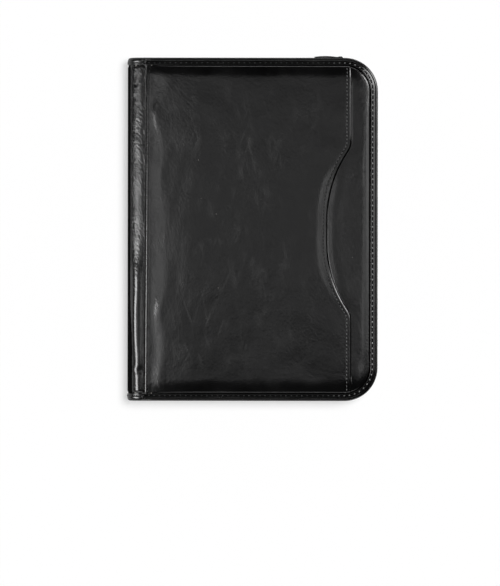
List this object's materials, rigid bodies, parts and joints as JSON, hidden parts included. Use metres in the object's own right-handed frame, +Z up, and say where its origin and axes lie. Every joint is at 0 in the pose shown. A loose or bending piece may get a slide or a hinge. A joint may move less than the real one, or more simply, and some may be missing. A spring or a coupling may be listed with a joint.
{
  "type": "zippered padfolio",
  "caption": "Padded black leather padfolio with an outer slip pocket, a zip round its open edges, a writing pad, inside pockets and a pen loop; the cover folds open at the spine.",
  "frame": {"origin": "centre of the closed padfolio on the face it lies on", "axes": "+X from the spine to the fore edge, +Y to the head, +Z up through the front cover"},
  "size_m": [0.241, 0.3321, 0.027],
  "materials": {
    "black_leather": "smooth black leather with a fine grain, semi-gloss",
    "binding_leather": "black leather strip, folded and stitched",
    "board": "grey bookbinder's board",
    "foam": "thin sheet padding",
    "lining_fabric": "black woven lining",
    "zip_tape": "black woven zip tape",
    "zip_teeth": "moulded black teeth",
    "black_metal": "black enamelled casting",
    "pocket_leather": "thin black leather",
    "elastic": "black elastic band",
    "card": "brown backing card",
    "paper": "white ruled writing paper",
    "pad_tape": "dark binding paper"
  },
  "bodies": {
    "back_cover": {"back_board": "board", "back_foam": "foam", "back_panel": "black_leather", "back_binding": "binding_leather", "back_lining": "lining_fabric", "back_zip_tape": "zip_tape", "back_zip_teeth": "zip_teeth", "back_top_stop": "black_metal", "zip_bottom_stop": "black_metal", "pad_pocket": "pocket_leather", "pad_card": "card", "pad_sheets": "paper", "pad_head_tape": "pad_tape"},
    "spine": {"spine_cover": "black_leather", "spine_stiffener": "board", "spine_lining": "lining_fabric", "spine_head_binding": "binding_leather", "spine_tail_binding": "binding_leather", "pen_loop": "elastic"},
    "front_cover": {"front_board": "board", "front_foam": "foam", "front_base_panel": "black_leather", "front_pocket_panel": "black_leather", "front_binding": "binding_leather", "front_lining": "lining_fabric", "front_zip_tape": "zip_tape", "front_zip_teeth": "zip_teeth", "front_top_stop": "black_metal", "document_pocket": "pocket_leather", "card_slot_1": "pocket_leather", "card_slot_2": "pocket_leather", "card_slot_3": "pocket_leather"},
    "zip_slider": {"slider_body": "black_metal"},
    "zip_pull": {"zip_pull_tab": "black_metal"}
  },
  "joints": [
    {"name": "spine_fold", "type": "hinge", "parent": "back_cover", "child": "spine", "pos_m": [-0.1182, 0, 0.0039], "axis": [0, -1, 0], "range_deg": [0, 89], "deforming": ["spine_cover", "spine_lining", "spine_head_binding", "spine_tail_binding"]},
    {"name": "cover_fold", "type": "hinge", "parent": "spine", "child": "front_cover", "pos_m": [-0.1182, 0, 0.0221], "axis": [0, -1, 0], "range_deg": [0, 89]},
    {"name": "zip_slide", "type": "slide", "parent": "back_cover", "child": "zip_slider", "axis": [-1, 0, 0], "range_m": [0, 0.1705]},
    {"name": "pull_swing", "type": "hinge", "parent": "zip_slider", "child": "zip_pull", "pos_m": [0.0845, 0.1657, 0.013], "axis": [0, 0, -1], "range_deg": [0, 180]}
  ],
  "couplings": [
    {"joint": "cover_fold", "follows": "spine_fold", "ratio": 1}
  ]
}
